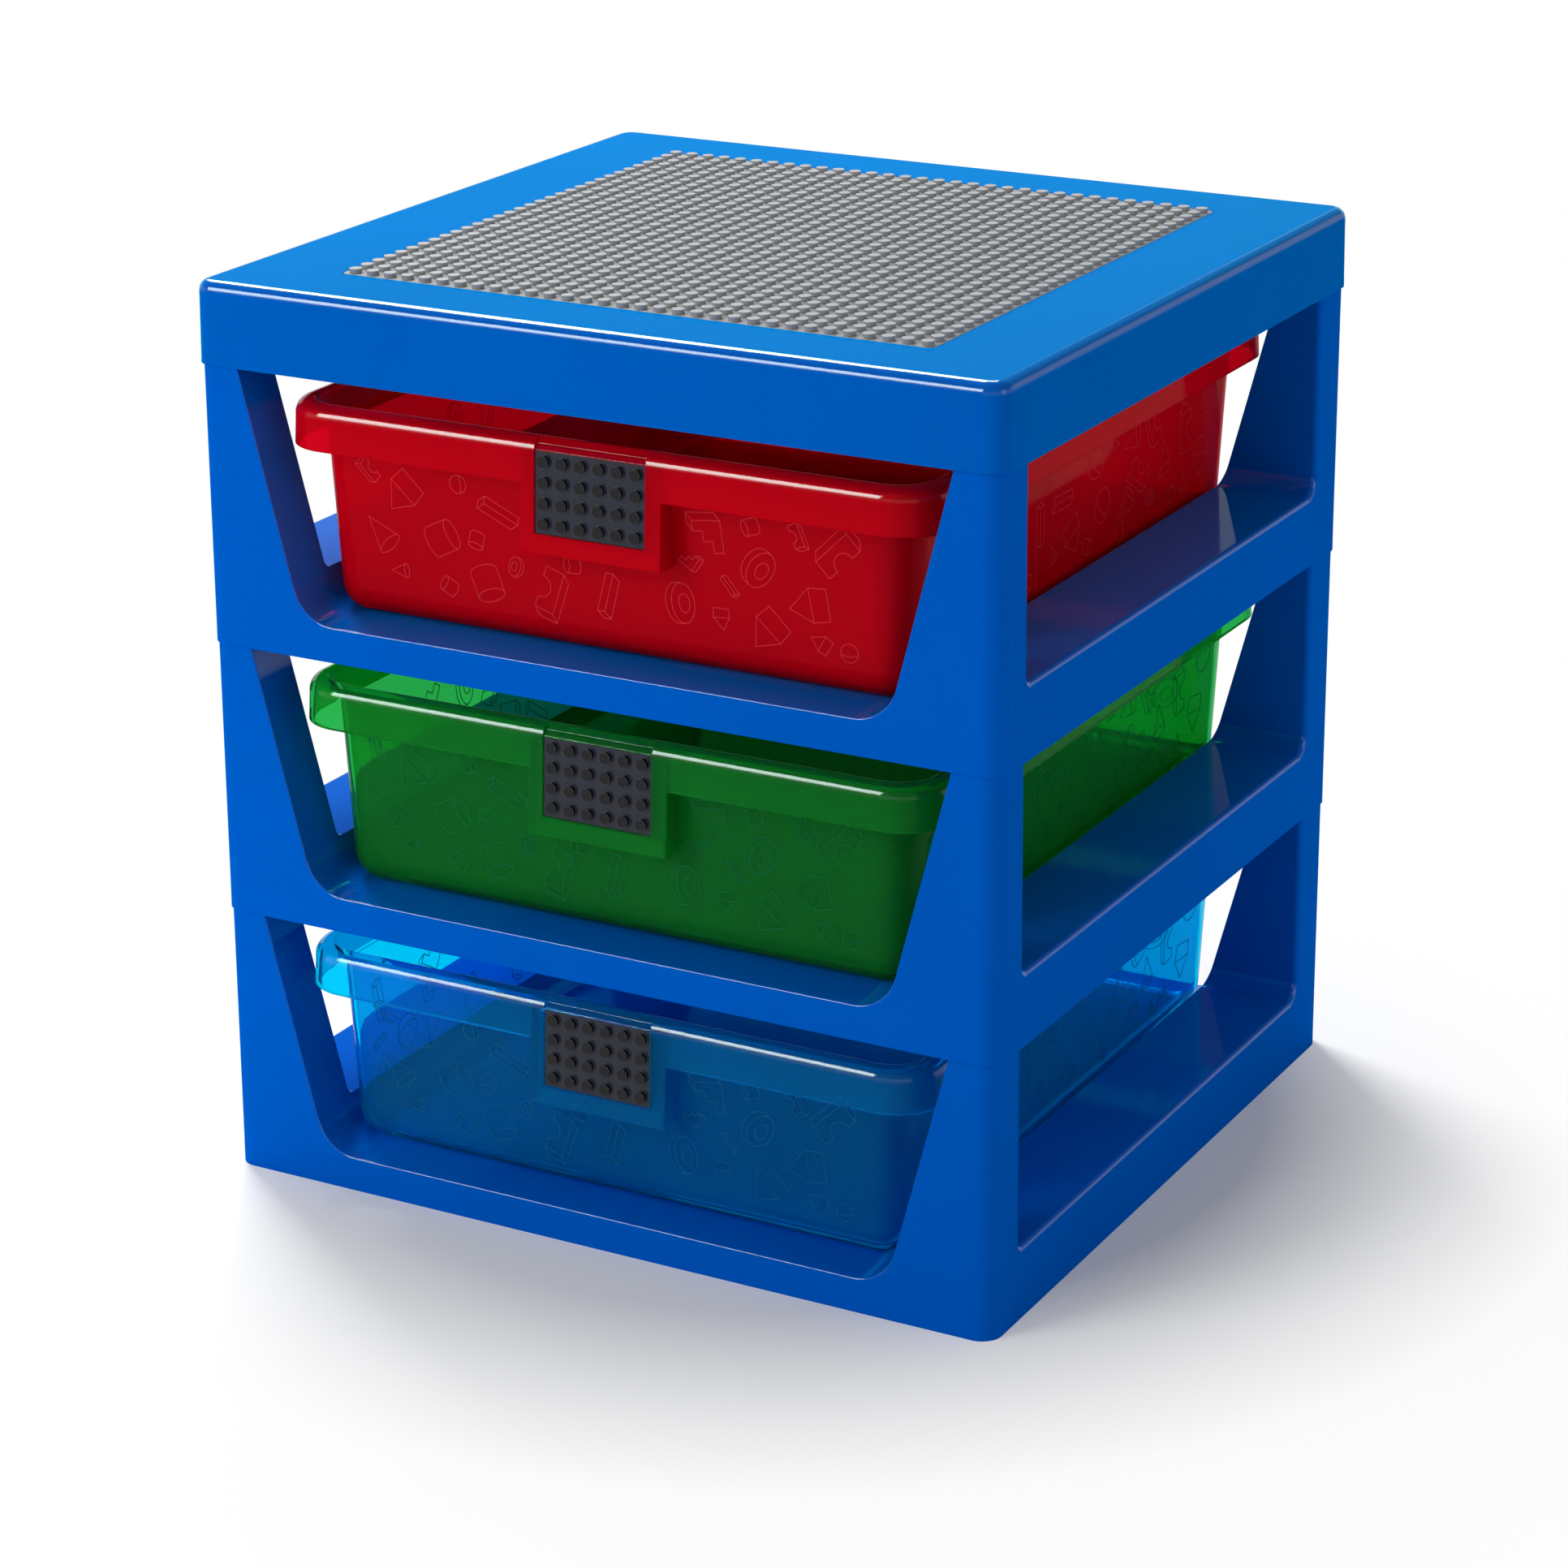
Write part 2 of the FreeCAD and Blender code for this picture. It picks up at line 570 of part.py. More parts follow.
def handle_plate(name, level, tier):
    """The small studded plate of a handle. Its own zero is the middle of its
    back face, and it leans with the drawer's front."""
    body = new_body(name)
    corners = [("- %s / 2" % HANDLE_WIDTH, "- %s / 2" % HANDLE_HEIGHT),
               ("%s / 2" % HANDLE_WIDTH, "- %s / 2" % HANDLE_HEIGHT),
               ("%s / 2" % HANDLE_WIDTH, "%s / 2" % HANDLE_HEIGHT),
               ("- %s / 2" % HANDLE_WIDTH, "%s / 2" % HANDLE_HEIGHT)]
    face = outline(body, name + "_outline", "XZ_Plane", None, corners)
    pad(body, name + "_plate", face, "handle_plate_thickness")
    ring = body.newObject("Sketcher::SketchObject", name + "_stud_outline")
    ring.AttachmentSupport = [(origin_plane(body, "XZ_Plane"), "")]
    ring.MapMode = "FlatFace"
    ring.setExpression("AttachmentOffset.Base.z", formula("handle_plate_thickness"))
    ring.addGeometry(Part.Circle(Vector(), Vector(0, 0, 1), value("stud_diameter") / 2))
    bindings = (("DistanceX", "- (%s - stud_pitch) / 2" % HANDLE_WIDTH),
                ("DistanceY", "- (%s - stud_pitch) / 2" % HANDLE_HEIGHT))
    for kind, spot in bindings:
        number = ring.addConstraint(Sketcher.Constraint(kind, 0, 3, 1.0))
        ring.setExpression("Constraints[%d]" % number, formula(spot))
    number = ring.addConstraint(Sketcher.Constraint("Diameter", 0, 1.0))
    ring.setExpression("Constraints[%d]" % number, formula("stud_diameter"))
    stud = pad(body, name + "_stud", ring, "stud_height")
    grid = body.newObject("PartDesign::MultiTransform", name + "_studs")
    grid.Originals = [stud]
    steps = []
    for axis, count in (("X_Axis", "handle_across_count"), ("Z_Axis", "handle_up_count")):
        line = body.newObject("PartDesign::LinearPattern", "%s_%s" % (name, count))
        line.Direction = ([part for part in body.Origin.OriginFeatures if part.Role == axis][0], [""])
        line.setExpression("Length", formula("(%s - 1) * stud_pitch" % count))
        line.setExpression("Occurrences", formula(count))
        steps.append(line)
    grid.Transformations = steps
    body.Tip = grid
    doc.recompute()
    lean = FreeCAD.Rotation(Vector(1, 0, 0), 1)
    body.Placement = FreeCAD.Placement(Vector(), lean)
    body.setExpression("Placement.Rotation.Angle", formula("- atan(drawer_draft_share)"))
    level_share = "cos(atan(drawer_draft_share))"
    forward = "%s - %s * %s" % (front_at(RECESS_MIDDLE), PAN_DEPTH, level_share)
    height = "%s - %s * drawer_draft_share * %s" % (RECESS_MIDDLE, PAN_DEPTH, level_share)
    place(body, level, tier, forward, height)
    return body


nodes = [top_lid("top_lid"), stud_baseplate("stud_baseplate")]
for level, tier in enumerate(TIERS):
    nodes.append(tier_frame("tier_frame_" + tier, level))
    nodes.append(drawer("drawer_" + tier, level, tier))
    nodes.append(handle_plate("handle_plate_" + tier, level, tier))
doc.recompute()

for item in doc.Objects:
    if "Invalid" in item.State or "Error" in item.State:
        raise RuntimeError("%s is not built: %s" % (item.Name, item.State))
for node in nodes:
    if node.Shape.isNull() or not node.Shape.isValid() or len(node.Shape.Solids) != 1:
        raise RuntimeError("%s is not one sound solid" % node.Label)

os.makedirs("parts", exist_ok=True)
for node in nodes:
    node.Shape.exportStep("parts/%s.step" % node.Label)
    box = node.Shape.BoundBox
    print("%-22s volume %10.1f  x %7.2f %7.2f  y %7.2f %7.2f  z %7.2f %7.2f"
          % (node.Label, node.Shape.Volume, box.XMin, box.XMax, box.YMin, box.YMax, box.ZMin, box.ZMax))
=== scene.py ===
import random
from math import cos, pi, radians, sin

import bmesh
import bpy
from mathutils import Matrix, Vector


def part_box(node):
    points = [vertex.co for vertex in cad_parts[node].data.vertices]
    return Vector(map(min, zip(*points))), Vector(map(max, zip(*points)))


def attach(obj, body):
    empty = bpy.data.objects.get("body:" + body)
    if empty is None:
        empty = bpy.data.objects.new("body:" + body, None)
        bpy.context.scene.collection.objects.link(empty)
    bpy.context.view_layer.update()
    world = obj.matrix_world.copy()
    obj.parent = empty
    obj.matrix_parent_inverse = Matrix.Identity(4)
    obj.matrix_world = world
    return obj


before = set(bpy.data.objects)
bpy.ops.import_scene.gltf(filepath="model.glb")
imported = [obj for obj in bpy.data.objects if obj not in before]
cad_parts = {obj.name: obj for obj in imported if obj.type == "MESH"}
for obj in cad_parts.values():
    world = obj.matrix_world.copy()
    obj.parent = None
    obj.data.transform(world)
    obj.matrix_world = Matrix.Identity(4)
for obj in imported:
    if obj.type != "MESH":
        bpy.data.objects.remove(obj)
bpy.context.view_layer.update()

MM = 0.001

# The tiers, and the colour of the drawer in each.
TIERS = ("bottom", "middle", "top")
COLOURS = {"bottom": "blue", "middle": "green", "top": "red"}

# The drawer's tub: how far its walls stand at their foot from the drawer's zero,
# how far its rim reaches back from there, and how much the walls lean out for each
# length upwards.
TUB_SIDE = 126.0 * MM
TUB_FRONT = 146.1 * MM
TUB_BACK = 153.1 * MM
RIM_BACK = 162.5 * MM
DRAFT_SHARE = 0.0524

# The housing of a handle: half its width, and how high its foot lies.
HOUSING_SIDE = 30.9 * MM
HOUSING_FOOT = 41.2 * MM

# The studs, and the small plate of a handle, which faces slightly upwards.
STUD_HEIGHT = 1.7 * MM
HANDLE_PLATE_THICKNESS = 1.6 * MM

# The engraved designs: the band of heights they fill, how far they keep from the
# ends of a wall, half the size of a large and of a small one, the gap between them,
# and how many places are tried for each size.
MOTIF_LOW = 13.0 * MM
MOTIF_HIGH = 67.0 * MM
MOTIF_END_GAP = 15.0 * MM
MOTIF_LARGE = 9.0 * MM
MOTIF_SMALL = 4.6 * MM
MOTIF_GAP = 1.5 * MM
MOTIF_TRIES = ((MOTIF_LARGE, 260), (MOTIF_SMALL, 200))
MOTIF_SEED = 12

# How many straight steps draw a whole circle, and a short arc at least.
CIRCLE_STEPS = 20
ARC_STEPS_LEAST = 6

# The strokes of a design: their width, how far they rise out of the wall and sink
# into it, and the least cosine that widens a stroke where it turns.
STROKE_WIDTH = 0.36 * MM
STROKE_RISE = 0.08 * MM
STROKE_SINK = 0.05 * MM
MITRE_LEAST = 0.5

# The plastics. A coat gives the polish of upright walls, of rounded edges and of flat
# tops, and a sheen gives its weight, its roughness and its tint.
MOULDED = {"roughness": 0.06, "edge": 0.4 * MM}
SHELL_BLUE = {**MOULDED, "colour": (0.0, 0.107, 0.57), "coat": (0.0, 0.8, 0.34),
              "sheen": (0.15, 0.3, (0.0, 0.9, 0.4))}
LID_BLUE = {**MOULDED, "colour": (0.0, 0.112, 0.54), "coat": (0.0, 0.6, 0.04),
            "sheen": (0.6, 0.3, (0.0, 0.95, 0.62))}
CLEAR = {**MOULDED, "ior": 1.06, "coat": (0.03, 0.6, 0.06)}
CLEAR_TINTS = {
    "red": {"colour": (0.72, 0.0, 0.012), "clear": 0.55},
    "green": {"colour": (0.025, 0.50, 0.09), "clear": 0.85},
    "blue": {"colour": (0.0, 0.55, 0.86), "clear": 0.93},
}
FROSTED = {"roughness": 0.5, "edge": 0.05 * MM, "clear": 0.3, "ior": 1.06}
FROSTED_TINTS = {"blue": (0.01, 0.13, 0.34), "green": (0.01, 0.19, 0.07), "red": (0.68, 0.04, 0.05)}
STUDDED_EDGE = 0.3 * MM
BASEPLATE_GREY = {"colour": (0.33, 0.345, 0.36), "roughness": 0.3, "edge": STUDDED_EDGE, "shine": 0.5}
HANDLE_BLACK = {"colour": (0.004, 0.004, 0.006), "roughness": 0.15, "edge": STUDDED_EDGE, "shine": 0.25}

# The ground between a plate's studs, and the studs' rims, lighter as a painted highlight.
# On the baseplate the darker ground is painted shade between the studs.
BASEPLATE_TONES = ((0.235, 0.242, 0.25), (0.45, 0.46, 0.47))
HANDLE_TONES = ((0.021, 0.024, 0.041), (0.10, 0.115, 0.15))

# What varies in every plastic: the scale and the detail of each noise, the stretch
# of it that counts, and how far the colour and the roughness go either way.
COLOUR_NOISE = (9.0, 3.0)
COLOUR_NOISE_SPAN = (0.3, 0.7)
COLOUR_SPREAD = 0.04
GLOSS_NOISE = (60.0, 4.0)
GLOSS_SPREAD = (0.8, 1.25)
WAVE_NOISE = (220.0, 2.0)
WAVE_STRENGTH = 0.012
WAVE_HEIGHT = 0.2 * MM
EDGE_SAMPLES = 6

# Where the polish changes, by how far a face points upwards: 0 on a wall, 1 on a top.
POLISH_STOPS = (0.1, 0.3, 0.993, 0.999)

# What counts as ground between studs, above its own level, and where the painted
# highlight of a rim starts and ends, as the cosine of the bend that its rounding gives.
GROUND_MARGIN = 0.1 * STUD_HEIGHT
RIM_BEND = (0.99, 0.85)

# The camera, fitted to the photograph without lens shift.
CAMERA_PLACE = Vector((0.7973, -1.4620, 0.7512))
CAMERA_AZIMUTH = radians(28.735)
CAMERA_ELEVATION = radians(20.060)
CAMERA_ROLL = radians(-0.333)
FOCAL_PIXELS = 5245.4
IMAGE_PIXELS = 1932
SENSOR_WIDTH = 36.0
CLIP_NEAR = 0.05
CLIP_FAR = 60

# Each lamp: its place, its width and height in metres, and its power in watts.
KEY_LAMP = ((-1.1, 0.9, 1.8), 0.8, 0.8, 52)
FILL_LAMP = ((-1.02, -1.66, 1.1), 0.9, 0.9, 18)
SIDE_LAMP = ((2.2, -0.3, 0.9), 0.9, 0.9, 6)
BACK_LINE_LAMP = ((-1.0, 1.18, 1.47), 1.2, 0.85, 62)
FRONT_LINE_LAMP = ((-1.02, -1.66, 1.22), 1.1, 0.7, 40)

# What the lamps aim at, and their colours. Those of the bright lines are a little cyan.
RACK_MIDDLE = (0, 0, 0.19)
LID_FRONT = (0, -0.165, 0.37)
WHITE = (1.0, 1.0, 1.0)
LINE_COLOUR = (0.75, 1.0, 0.93)

# How white the floor is to the eye, and how little lit, at each distance from
# the rack's middle, in metres. The white is a painted glow that grows away from
# the rack and fades its shadow there. Near the rack it keeps its shadow.
FLOOR_GLOW_SHARES = ((0.20, 0.05), (0.24, 0.30), (0.29, 0.64), (0.34, 0.93), (0.6, 1.0))
FLOOR_SIZE = 40
FLOOR_LIT = 0.92

# The world is white to the eye. As a light it has this strength, and in reflections it
# is white low down and dim above a band of heights, where straight up is 1.
WORLD_LIGHT = 0.3
CEILING_BAND = (0.26, 0.36)
CEILING_GLOW = (1.0, 0.1)


def make_camera():
    azimuth, elevation = CAMERA_AZIMUTH, CAMERA_ELEVATION
    back = Vector((sin(azimuth) * cos(elevation), -cos(azimuth) * cos(elevation), sin(elevation)))
    level = Vector((cos(azimuth), sin(azimuth), 0))
    upright = back.cross(level)
    right = level * cos(CAMERA_ROLL) + upright * sin(CAMERA_ROLL)
    up = upright * cos(CAMERA_ROLL) - level * sin(CAMERA_ROLL)
    data = bpy.data.cameras.new("camera")
    data.sensor_width = SENSOR_WIDTH
    data.lens = FOCAL_PIXELS * SENSOR_WIDTH / IMAGE_PIXELS
    data.clip_start = CLIP_NEAR
    data.clip_end = CLIP_FAR
    camera = bpy.data.objects.new("camera", data)
    turn = Matrix((right, up, back)).transposed().to_4x4()
    camera.matrix_world = Matrix.Translation(CAMERA_PLACE) @ turn
    bpy.context.scene.collection.objects.link(camera)
    bpy.context.scene.camera = camera


def grey(level):
    return (level,) * 3


class Nodes:
    """A short way to write a node tree."""

    def __init__(self, tree):
        self.tree = tree
        tree.nodes.clear()

    def add(self, kind, inputs=None, **settings):
        node = self.tree.nodes.new(kind)
        for name, setting in settings.items():
            setattr(node, name, setting)
        for name, source in (inputs or {}).items():
            socket = node.inputs[name]
            if isinstance(source, bpy.types.NodeSocket):
                self.tree.links.new(source, socket)
            else:
                socket.default_value = source
        return node

    def ramp(self, factor, places, colours):
        node = self.add("ShaderNodeValToRGB", {"Fac": factor})
        ramp = node.color_ramp
        while len(ramp.elements) < len(places):
            ramp.elements.new(0.5)      # It gets its own place below.
        for element, place, colour in zip(ramp.elements, places, colours):
            element.position = place
            element.color = (*colour, 1)
        return node.outputs["Color"]

    def span(self, value, start=(0.0, 1.0), end=(0.0, 1.0)):
        """The value, carried from the range start to the range end."""
        return self.add("ShaderNodeMapRange", {
            "Value": value, "From Min": start[0], "From Max": start[1],
            "To Min": end[0], "To Max": end[1]}).outputs["Result"]

    def noise(self, place, scale, detail):
        node = self.add("ShaderNodeTexNoise", {"Vector": place, "Scale": scale, "Detail": detail})
        return node.outputs["Fac"]

    def math(self, operation, first, second):
        return self.add("ShaderNodeMath", {0: first, 1: second}, operation=operation).outputs[0]

    def dot(self, first, second):
        node = self.add("ShaderNodeVectorMath", {0: first, 1: second}, operation="DOT_PRODUCT")
        return node.outputs["Value"]

    def tinted(self, share, under, over):
        node = self.add("ShaderNodeMixRGB", {"Fac": share, "Color1": under, "Color2": (*over, 1)})
        return node.outputs["Color"]

    def glow(self, kind, strength):
        return self.add(kind, {"Color": (*WHITE, 1), "Strength": strength}).outputs[0]

    def either(self, share, first, second):
        return self.add("ShaderNodeMixShader", {0: share, 1: first, 2: second}).outputs[0]


def stud_tint(nodes, tint, place, rounded, studs):
    """The tint of a plate with studs: that of the studs' mass, with the ground
    between them in a tone of its own, and their rims lighter as a painted highlight."""
    way, level, ground, rims = studs
    between = nodes.math("LESS_THAN", nodes.dot(place, way), level + GROUND_MARGIN)
    straight = nodes.add("ShaderNodeNewGeometry").outputs["Normal"]
    # Rims lighter where the rounding bends the normal: a painted highlight.
    painted_rim_highlight = nodes.span(nodes.dot(rounded, straight), start=RIM_BEND)
    return nodes.tinted(painted_rim_highlight, nodes.tinted(between, tint, ground), rims)


def plastic(name, colour, roughness, edge, clear=0.0, ior=1.5, shine=0.0, coat=None, sheen=None, studs=None):
    """Moulded plastic. Its colour drifts a little through the mass, its gloss
    varies with handling, its skin has the faint waves of a moulded surface, and
    its edges are rounded by edge. clear is the share of light that passes. coat
    gives the polish of upright walls, of rounded edges and of flat tops. sheen
    gives its weight, its roughness and its tint. studs gives the way the studs
    point, how far that way the ground between them lies, the ground's colour and
    that of the studs' rims, which are lighter as a painted highlight."""
    material = bpy.data.materials.new(name)
    material.use_nodes = True
    nodes = Nodes(material.node_tree)
    place = nodes.add("ShaderNodeTexCoord").outputs["Object"]
    low = tuple(channel * (1 - COLOUR_SPREAD) for channel in colour)
    high = tuple(min(channel * (1 + COLOUR_SPREAD), 1.0) for channel in colour)
    tint = nodes.ramp(nodes.noise(place, *COLOUR_NOISE), COLOUR_NOISE_SPAN, (low, high))
    gloss = nodes.span(nodes.noise(place, *GLOSS_NOISE), end=[roughness * share for share in GLOSS_SPREAD])
    rounded = nodes.add("ShaderNodeBevel", {"Radius": edge}, samples=EDGE_SAMPLES).outputs["Normal"]
    if studs:
        tint = stud_tint(nodes, tint, place, rounded, studs)
    skin = nodes.add("ShaderNodeBump", {
        "Strength": WAVE_STRENGTH, "Distance": WAVE_HEIGHT, "Height": nodes.noise(place, *WAVE_NOISE),
        "Normal": rounded}).outputs["Normal"]
    surface = nodes.add("ShaderNodeBsdfPrincipled", {
        "Base Color": tint, "Roughness": gloss, "IOR": ior, "Normal": skin,
        "Specular IOR Level": shine, "Transmission Weight": clear,
        "Coat Roughness": roughness, "Coat Normal": skin})
    if coat:
        walls, rounds, tops = coat
        facing = nodes.add("ShaderNodeTexCoord").outputs["Normal"]
        upwards = nodes.add("ShaderNodeSeparateXYZ", {"Vector": facing}).outputs["Z"]
        polish = nodes.ramp(upwards, POLISH_STOPS, (grey(walls), grey(rounds), grey(rounds), grey(tops)))
        nodes.tree.links.new(polish, surface.inputs["Coat Weight"])
    if sheen:
        weight, spread, glint = sheen
        surface.inputs["Sheen Weight"].default_value = weight
        surface.inputs["Sheen Roughness"].default_value = spread
        surface.inputs["Sheen Tint"].default_value = (*glint, 1)
    nodes.add("ShaderNodeOutputMaterial", {"Surface": surface.outputs["BSDF"]})
    return material


def dress(node, material):
    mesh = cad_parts[node].data
    mesh.materials.clear()
    mesh.materials.append(material)


def handle_studs(tier):
    """Which way the studs of a handle plate point, and how far that way the
    plate's front face lies. The plate's back face goes through the top edge, at
    the back, of the plate's box."""
    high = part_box("handle_plate_" + tier)[1]
    way = Vector((0, -1, DRAFT_SHARE)).normalized()
    return way, way.dot(high) + HANDLE_PLATE_THICKNESS


def make_materials():
    shell = plastic("shell_blue", **SHELL_BLUE)
    dress("top_lid", plastic("lid_blue", **LID_BLUE))
    plate_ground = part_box("stud_baseplate")[1].z - STUD_HEIGHT
    up = Vector((0, 0, 1))
    # Its ground between the studs is darker: painted shade.
    dress("stud_baseplate", plastic(
        "baseplate_grey", **BASEPLATE_GREY, studs=(up, plate_ground, *BASEPLATE_TONES)))
    for tier in TIERS:
        colour = COLOURS[tier]
        dress("tier_frame_" + tier, shell)
        dress("drawer_" + tier, plastic("clear_" + colour, **CLEAR, **CLEAR_TINTS[colour]))
        dress("handle_plate_" + tier, plastic(
            "handle_black_" + tier, **HANDLE_BLACK, studs=(*handle_studs(tier), *HANDLE_TONES)))


def ring_points(centre, radius, squeeze=1.0, start=0.0, sweep=2 * pi):
    """Points on a circle or on a part of one, squeezed along its second axis.
    A whole circle repeats its first point at the end."""
    steps = max(ARC_STEPS_LEAST, round(CIRCLE_STEPS * abs(sweep) / (2 * pi)))
    angles = [start + sweep * step / steps for step in range(steps + 1)]
    return [(centre[0] + radius * cos(angle), centre[1] + radius * squeeze * sin(angle)) for angle in angles]


def motifs():
    """The engraved designs: plain play blocks in outline, each a list of lines
    in a square from -1 to 1. A line that ends where it starts is closed."""
    cube = [[(0, -1), (0.87, -0.5), (0.87, 0.5), (0, 1), (-0.87, 0.5), (-0.87, -0.5), (0, -1)],
            [(0, 0), (0.87, 0.5)], [(0, 0), (-0.87, 0.5)], [(0, 0), (0, -1)]]
    arch = [[(-1, -0.6), (-1, 0.3), (1, 0.3), (1, -0.6), (0.5, -0.6)]
            + ring_points((0, -0.6), 0.5, 1.0, 0.0, pi)[1:] + [(-1, -0.6)],
            [(-1, 0.3), (-0.7, 0.62), (1.3, 0.62), (1, 0.3)], [(1.3, 0.62), (1.3, -0.28), (1, -0.6)]]
    drum = [ring_points((0, 0.55), 0.7, 0.4),
            [(-0.7, 0.55), (-0.7, -0.55)] + ring_points((0, -0.55), 0.7, 0.4, pi, pi)[1:] + [(0.7, 0.55)]]
    wedge = [[(-0.9, -0.6), (0.3, -0.8), (-0.3, 0.6), (-0.9, -0.6)],
             [(-0.3, 0.6), (0.5, 0.85), (1.0, -0.45), (0.3, -0.8)]]
    cone = [[(-0.65, -0.5), (0, 1), (0.65, -0.5)], ring_points((0, -0.5), 0.65, 0.35)]
    ring = [ring_points((0, 0), 0.9, 0.62), ring_points((0, 0.06), 0.42, 0.62),
            [(-0.9, 0)] + ring_points((0, -0.28), 0.9, 0.62, pi, pi) + [(0.9, 0)]]
    plank = [[(-1, -0.15), (0.75, -0.6), (0.75, -0.25), (-1, 0.2), (-1, -0.15)],
             [(-1, 0.2), (-0.7, 0.5), (1.05, 0.05), (0.75, -0.25)],
             [(1.05, 0.05), (1.05, -0.3), (0.75, -0.6)]]
    stairs = [[(-0.9, -0.6), (0.5, -0.6), (0.5, 0.75), (0.05, 0.75), (0.05, 0.3), (-0.4, 0.3), (-0.4, -0.15),
               (-0.9, -0.15), (-0.9, -0.6)],
              [(0.05, 0.75), (0.4, 1.0), (0.85, 1.0), (0.5, 0.75)],
              [(0.85, 1.0), (0.85, -0.35), (0.5, -0.6)]]
    ball = [ring_points((0, 0), 0.8), ring_points((0, 0), 0.8, 0.35, pi, pi)]
    return cube, arch, drum, wedge, cone, ring, plank, stairs, ball


def scatter(dice, left, right, keep_out):
    """Places for designs on one wall from left to right: (across, up, size).
    keep_out is half the width that the handle's housing covers. A wall without a
    housing still leaves a narrow strip free at the top of its middle."""
    placed = []
    for size, tries in MOTIF_TRIES:
        for _ in range(tries):
            across = dice.uniform(left + size, right - size)
            up = dice.uniform(MOTIF_LOW + size, MOTIF_HIGH - size)
            if abs(across) < keep_out + size and up > HOUSING_FOOT - size:
                continue
            if all((across - x) ** 2 + (up - z) ** 2 > (size + other + MOTIF_GAP) ** 2
                   for x, z, other in placed):
                placed.append((across, up, size))
    return placed


def engrave(mesh, points, to_wall):
    """One stroke: a thin closed bar along the points, let into the wall."""
    corners = ((1, -STROKE_SINK), (1, STROKE_RISE), (-1, STROKE_RISE), (-1, -STROKE_SINK))
    closed = points[0] == points[-1]
    if closed:
        points = points[:-1]
    count = len(points)
    rows = []
    for i, here in enumerate(points):
        here = Vector(here)
        before = Vector(points[i - 1]) if closed or i else here
        after = Vector(points[(i + 1) % count]) if closed or i + 1 < count else here
        arrive = (here - before).normalized() if here != before else (after - here).normalized()
        leave = (after - here).normalized() if here != after else arrive
        along = (arrive + leave).normalized()
        aside = Vector((-along.y, along.x)) * STROKE_WIDTH / 2 / max(along.dot(leave), MITRE_LEAST)
        rows.append([mesh.verts.new(to_wall(*(here + aside * side), lift)) for side, lift in corners])
    for i in range(count if closed else count - 1):
        low, high = rows[i], rows[(i + 1) % count]
        for k in range(len(corners)):
            n = (k + 1) % len(corners)
            mesh.faces.new((low[k], low[n], high[n], high[k]))
    if not closed:
        mesh.faces.new(rows[0][::-1])
        mesh.faces.new(rows[-1])


def make_engraving(tier, colour):
    """The fine outlines on the four walls of a drawer, the same on each drawer."""
    low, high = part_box("drawer_" + tier)
    middle, zero, foot = (low.x + high.x) / 2, high.y - RIM_BACK, low.z
    lean = Vector((1, -DRAFT_SHARE)).normalized()

    def wall(reach, turn):
        """A point of a wall: across it, up it, and out of it. The front wall has
        turn 0, and the others follow it anticlockwise from above."""
        def at(across, up, out):
            outwards = reach + up * DRAFT_SHARE + out * lean.x
            x, y = (across, -outwards) if turn in (0, 2) else (outwards, across)
            if turn >= 2:
                x, y = -x, -y
            return Vector((middle + x, zero + y, foot + up + out * lean.y))
        return at

    dice = random.Random(MOTIF_SEED)
    designs = motifs()
    mesh = bmesh.new()
    front, back, side = (reach - MOTIF_END_GAP for reach in (TUB_FRONT, TUB_BACK, TUB_SIDE))
    walls = ((TUB_FRONT, 0, -side, side, HOUSING_SIDE), (TUB_SIDE, 1, -front, back, 0),
             (TUB_BACK, 2, -side, side, 0), (TUB_SIDE, 3, -back, front, 0))
    for reach, turn, left, right, keep_out in walls:
        at = wall(reach, turn)
        for across, up, size in scatter(dice, left, right, keep_out):
            spin = dice.uniform(0, 2 * pi)
            turned = Matrix.Rotation(spin, 2)
            for line in dice.choice(designs):
                stroke = [tuple(turned @ Vector(point) * size + Vector((across, up))) for point in line]
                if line[0] == line[-1]:
                    stroke[-1] = stroke[0]
                engrave(mesh, stroke, at)
    bmesh.ops.recalc_face_normals(mesh, faces=mesh.faces)
    data = bpy.data.meshes.new("engraving_" + tier)
    mesh.to_mesh(data)
    mesh.free()
    piece = bpy.data.objects.new("engraving_" + tier, data)
    bpy.context.scene.collection.objects.link(piece)
    data.materials.append(plastic("frosted_" + colour, FROSTED_TINTS[colour], **FROSTED))
    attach(piece, tier + "_drawer")


def make_floor():
    """A floor that is white to the eye, in reflections and through the clear
    drawers, but for the shadow near the rack. Its white is a painted glow that
    grows with the distance from the rack and fades the shadow there. To other
    light it is pale."""
    bpy.ops.mesh.primitive_plane_add(size=FLOOR_SIZE)
    floor = bpy.context.object
    floor.name = "floor"
    material = bpy.data.materials.new("floor_white")
    material.use_nodes = True
    nodes = Nodes(material.node_tree)
    rays = nodes.add("ShaderNodeLightPath").outputs
    seen = nodes.math("MAXIMUM", nodes.math("MAXIMUM", rays["Is Camera Ray"], rays["Is Glossy Ray"]),
                      rays["Is Transmission Ray"])
    place = nodes.add("ShaderNodeTexCoord").outputs["Object"]
    reach = nodes.add("ShaderNodeVectorMath", {0: place}, operation="LENGTH").outputs["Value"]
    radii, shares = zip(*FLOOR_GLOW_SHARES)
    # The painted glow's share, growing away from the rack.
    share = nodes.math("MULTIPLY", seen, nodes.ramp(reach, radii, [grey(share) for share in shares]))
    lit = nodes.add("ShaderNodeBsdfDiffuse", {"Color": (*grey(FLOOR_LIT), 1)}).outputs[0]
    both = nodes.either(share, lit, nodes.glow("ShaderNodeEmission", 1.0))
    nodes.add("ShaderNodeOutputMaterial", {"Surface": both})
    floor.data.materials.append(material)


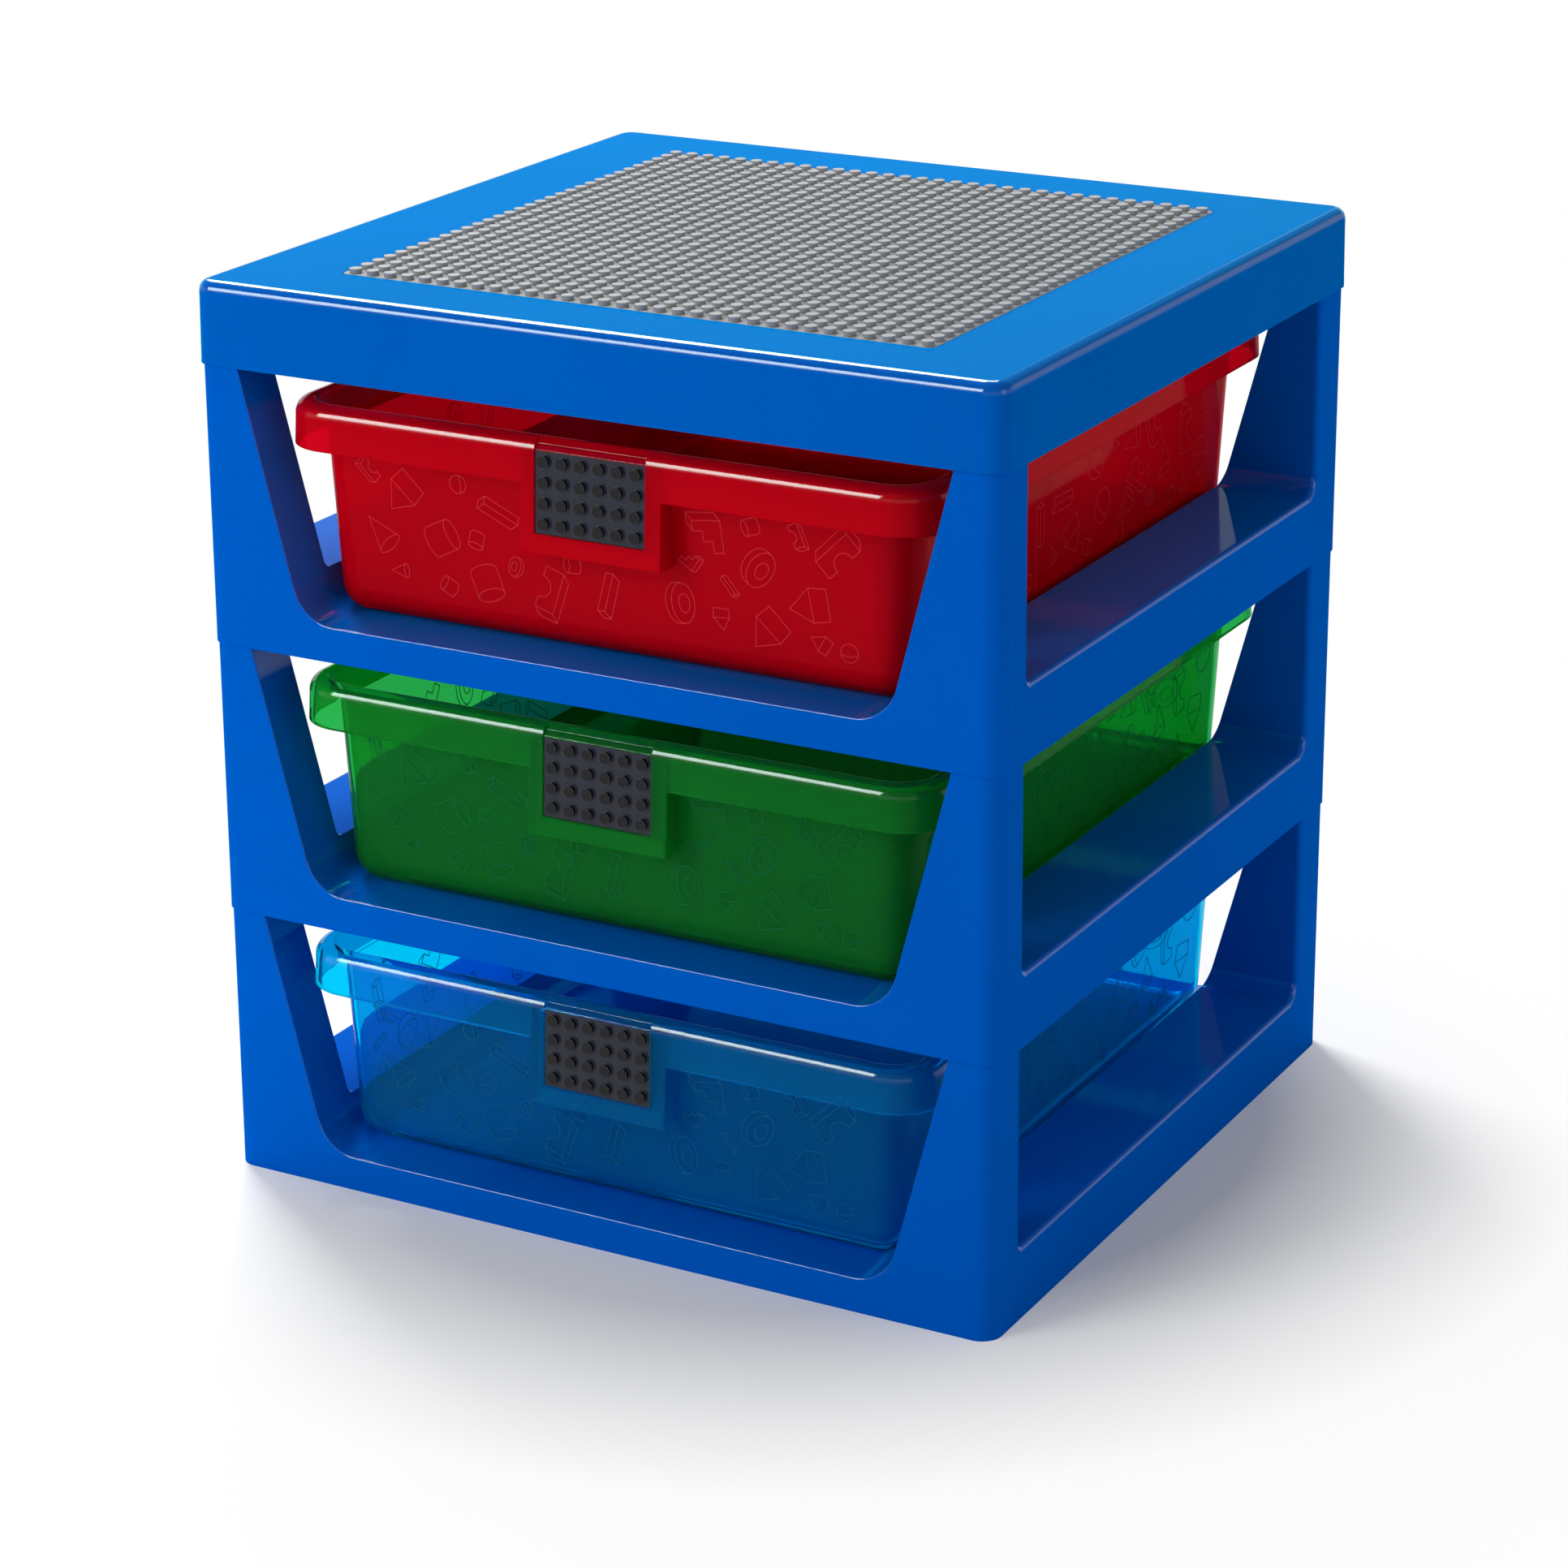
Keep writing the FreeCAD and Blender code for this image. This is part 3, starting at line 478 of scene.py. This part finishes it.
def make_world():
    world = bpy.data.worlds.new("studio")
    world.use_nodes = True
    bpy.context.scene.world = world
    nodes = Nodes(world.node_tree)
    rays = nodes.add("ShaderNodeLightPath").outputs
    seen = nodes.math("MAXIMUM", rays["Is Camera Ray"], rays["Is Transmission Ray"])
    way = nodes.add("ShaderNodeTexCoord").outputs["Generated"]
    height = nodes.add("ShaderNodeSeparateXYZ", {"Vector": way}).outputs["Z"]
    mirrored = nodes.glow("ShaderNodeBackground", nodes.span(height, CEILING_BAND, CEILING_GLOW))
    unseen = nodes.either(rays["Is Glossy Ray"], nodes.glow("ShaderNodeBackground", WORLD_LIGHT), mirrored)
    both = nodes.either(seen, unseen, nodes.glow("ShaderNodeBackground", 1.0))
    nodes.add("ShaderNodeOutputWorld", {"Surface": both})


def softbox(name, setup, aim, shines_on=None, colour=WHITE):
    """A rectangular lamp. With shines_on it gives these nodes its reflection and
    lights nothing."""
    place, width, height, power = setup
    data = bpy.data.lights.new(name, "AREA")
    data.shape = "RECTANGLE"
    data.size = width
    data.size_y = height
    data.energy = power
    data.color = colour
    lamp = bpy.data.objects.new(name, data)
    lamp.location = place
    lamp.rotation_euler = (Vector(aim) - Vector(place)).to_track_quat("-Z", "Y").to_euler()
    bpy.context.scene.collection.objects.link(lamp)
    if shines_on:
        lamp.visible_diffuse = False
        lamp.visible_transmission = False
        lamp.light_linking.receiver_collection = bpy.data.collections.new(name + "_receivers")
        for node in shines_on:
            lamp.light_linking.receiver_collection.objects.link(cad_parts[node])


def make_lights():
    """Two soft lamps and a weak one light the rack. Two more give only the long
    bright lines along rounded edges, one of them on the lid alone."""
    moulded = [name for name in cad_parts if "plate" not in name]
    softbox("key", KEY_LAMP, RACK_MIDDLE)
    softbox("fill", FILL_LAMP, RACK_MIDDLE)
    softbox("side", SIDE_LAMP, RACK_MIDDLE)
    softbox("back_line", BACK_LINE_LAMP, LID_FRONT, ["top_lid"], LINE_COLOUR)
    softbox("front_line", FRONT_LINE_LAMP, LID_FRONT, moulded, LINE_COLOUR)


make_camera()
make_world()
make_lights()
make_floor()
make_materials()
for tier in TIERS:
    make_engraving(tier, COLOURS[tier])

bpy.context.scene.view_settings.view_transform = "Standard"
